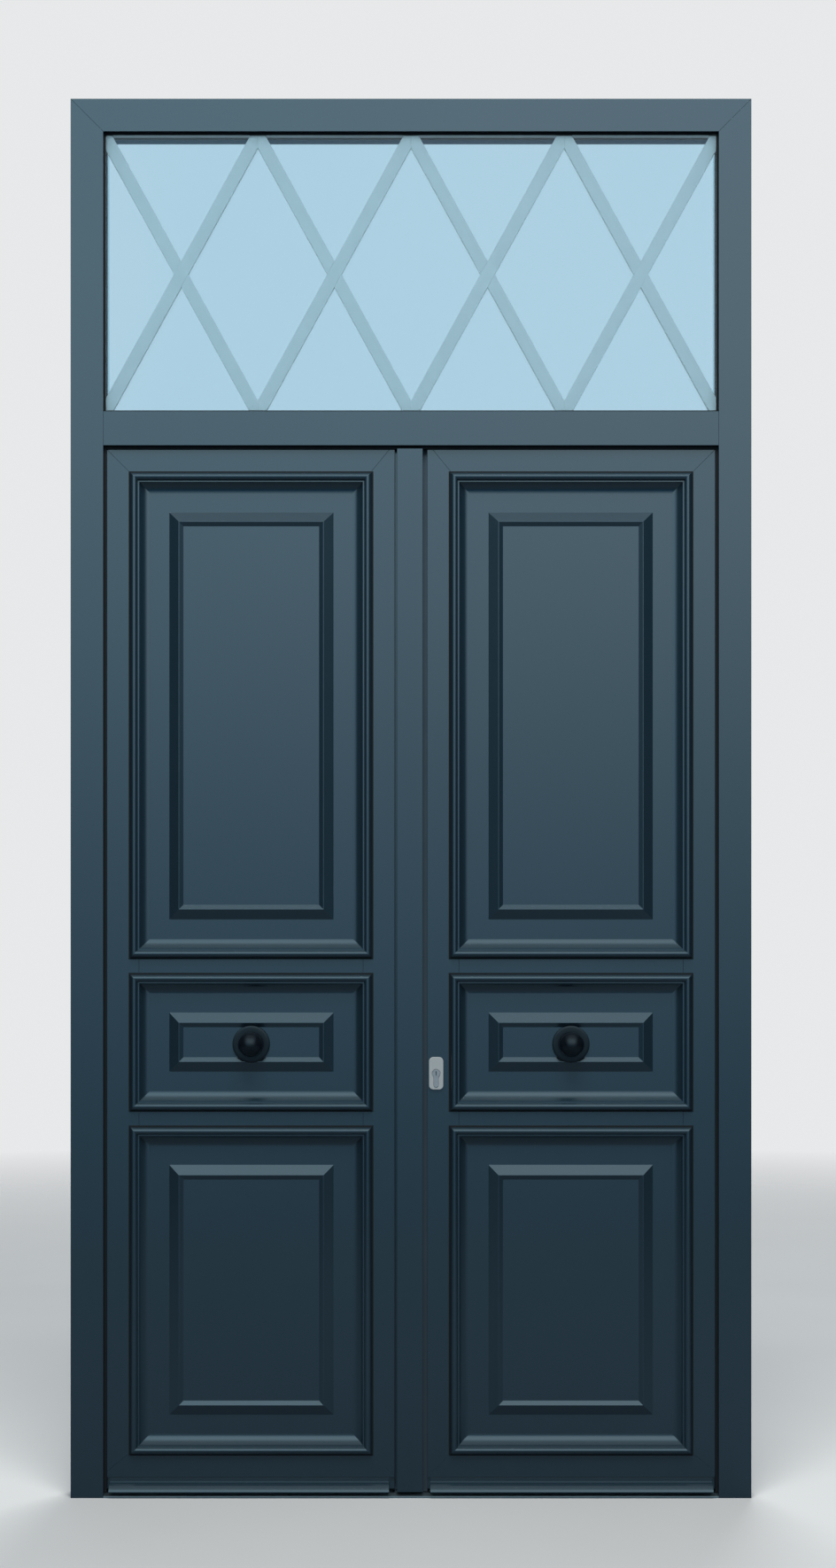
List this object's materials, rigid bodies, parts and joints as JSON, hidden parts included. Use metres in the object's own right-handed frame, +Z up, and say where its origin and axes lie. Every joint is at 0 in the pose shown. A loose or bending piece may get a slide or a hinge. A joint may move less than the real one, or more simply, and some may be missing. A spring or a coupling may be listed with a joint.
{
  "type": "front door",
  "caption": "Double-leaf panelled front door in its frame, with moulded raised panels, a lattice fanlight, pull knobs, a cover strip and a key lock.",
  "frame": {"origin": "under the middle of the threshold, at mid-depth of the frame", "axes": "+Z up; +Y from the street into the house; +X to the right as seen from the street"},
  "size_m": [1.46, 0.151, 3],
  "materials": {
    "door_paint": "satin dark blue-grey paint",
    "clear_glass": "polished clear glass",
    "lattice_white": "matt pale grey paint",
    "seal_black": "matt black rubber",
    "mill_aluminium": "anodised",
    "brushed_stainless": "brushed",
    "knob_black": "satin black paint",
    "zinc_steel": "zinc plated"
  },
  "bodies": {
    "frame": {"frame_jamb_right": "door_paint", "frame_jamb_left": "door_paint", "frame_head": "door_paint", "frame_transom": "door_paint", "threshold": "mill_aluminium", "doorway_seal": "seal_black", "fanlight_outer_pane": "clear_glass", "fanlight_inner_pane": "clear_glass", "fanlight_spacer": "mill_aluminium", "lattice_rising": "lattice_white", "lattice_falling": "lattice_white", "fanlight_seals": "seal_black", "fanlight_beads": "door_paint", "frame_hinges": "door_paint", "hinge_pins": "zinc_steel"},
    "left_leaf": {"left_hinge_stile": "door_paint", "left_meeting_stile": "door_paint", "left_top_rail": "door_paint", "left_bottom_rail": "door_paint", "left_mid_rails": "door_paint", "left_panel_upper": "door_paint", "left_panel_middle": "door_paint", "left_panel_lower": "door_paint", "left_mouldings": "door_paint", "left_panel_beads": "door_paint", "left_seals": "seal_black", "left_bottom_profile": "door_paint", "left_weather_bar": "door_paint", "left_leaf_hinges": "door_paint", "left_knob": "knob_black", "left_knob_rose": "knob_black", "cover_strip": "door_paint", "strike_plate": "brushed_stainless"},
    "right_leaf": {"right_hinge_stile": "door_paint", "right_meeting_stile": "door_paint", "right_top_rail": "door_paint", "right_bottom_rail": "door_paint", "right_mid_rails": "door_paint", "right_panel_upper": "door_paint", "right_panel_middle": "door_paint", "right_panel_lower": "door_paint", "right_mouldings": "door_paint", "right_panel_beads": "door_paint", "right_seals": "seal_black", "right_bottom_profile": "door_paint", "right_weather_bar": "door_paint", "right_leaf_hinges": "door_paint", "right_knob": "knob_black", "right_knob_rose": "knob_black", "lock_case": "zinc_steel", "lock_faceplate": "brushed_stainless", "cylinder_body": "zinc_steel", "escutcheon": "brushed_stainless", "inner_plate": "brushed_stainless"},
    "lever": {"inner_lever": "brushed_stainless"},
    "plug": {"cylinder_plug": "zinc_steel"},
    "deadbolt": {"deadbolt": "zinc_steel"},
    "latch": {"latch_bolt": "zinc_steel"},
    "top_bolt": {"top_bolt": "zinc_steel"},
    "bottom_bolt": {"bottom_bolt": "zinc_steel"}
  },
  "joints": [
    {"name": "left_leaf_swing", "type": "hinge", "parent": "frame", "child": "left_leaf", "pos_m": [-0.671, 0.045, 0], "axis": [0, 0, 1], "range_deg": [0, 100]},
    {"name": "right_leaf_swing", "type": "hinge", "parent": "frame", "child": "right_leaf", "pos_m": [0.671, 0.045, 0], "axis": [0, 0, -1], "range_deg": [0, 100]},
    {"name": "lever_turn", "type": "hinge", "parent": "right_leaf", "child": "lever", "pos_m": [0.054, 0.035, 1.002], "axis": [0, 1, 0], "range_deg": [0, 40], "stiffness_Nm_per_rad": 1, "springref_deg": -20.05},
    {"name": "cylinder_turn", "type": "hinge", "parent": "right_leaf", "child": "plug", "pos_m": [0.054, -0.022, 0.91], "axis": [0, 1, 0], "range_deg": [0, 360]},
    {"name": "deadbolt_slide", "type": "slide", "parent": "right_leaf", "child": "deadbolt", "axis": [-1, 0, 0], "range_m": [0, 0.02]},
    {"name": "latch_slide", "type": "slide", "parent": "right_leaf", "child": "latch", "axis": [-1, 0, 0], "range_m": [0, 0.012]},
    {"name": "top_bolt_slide", "type": "slide", "parent": "left_leaf", "child": "top_bolt", "axis": [0, 0, 1], "range_m": [0, 0.013]},
    {"name": "bottom_bolt_slide", "type": "slide", "parent": "left_leaf", "child": "bottom_bolt", "axis": [0, 0, -1], "range_m": [0, 0.013]}
  ],
  "couplings": [
    {"joint": "deadbolt_slide", "follows": "cylinder_turn", "m_per_rad": 0.0031831}
  ]
}
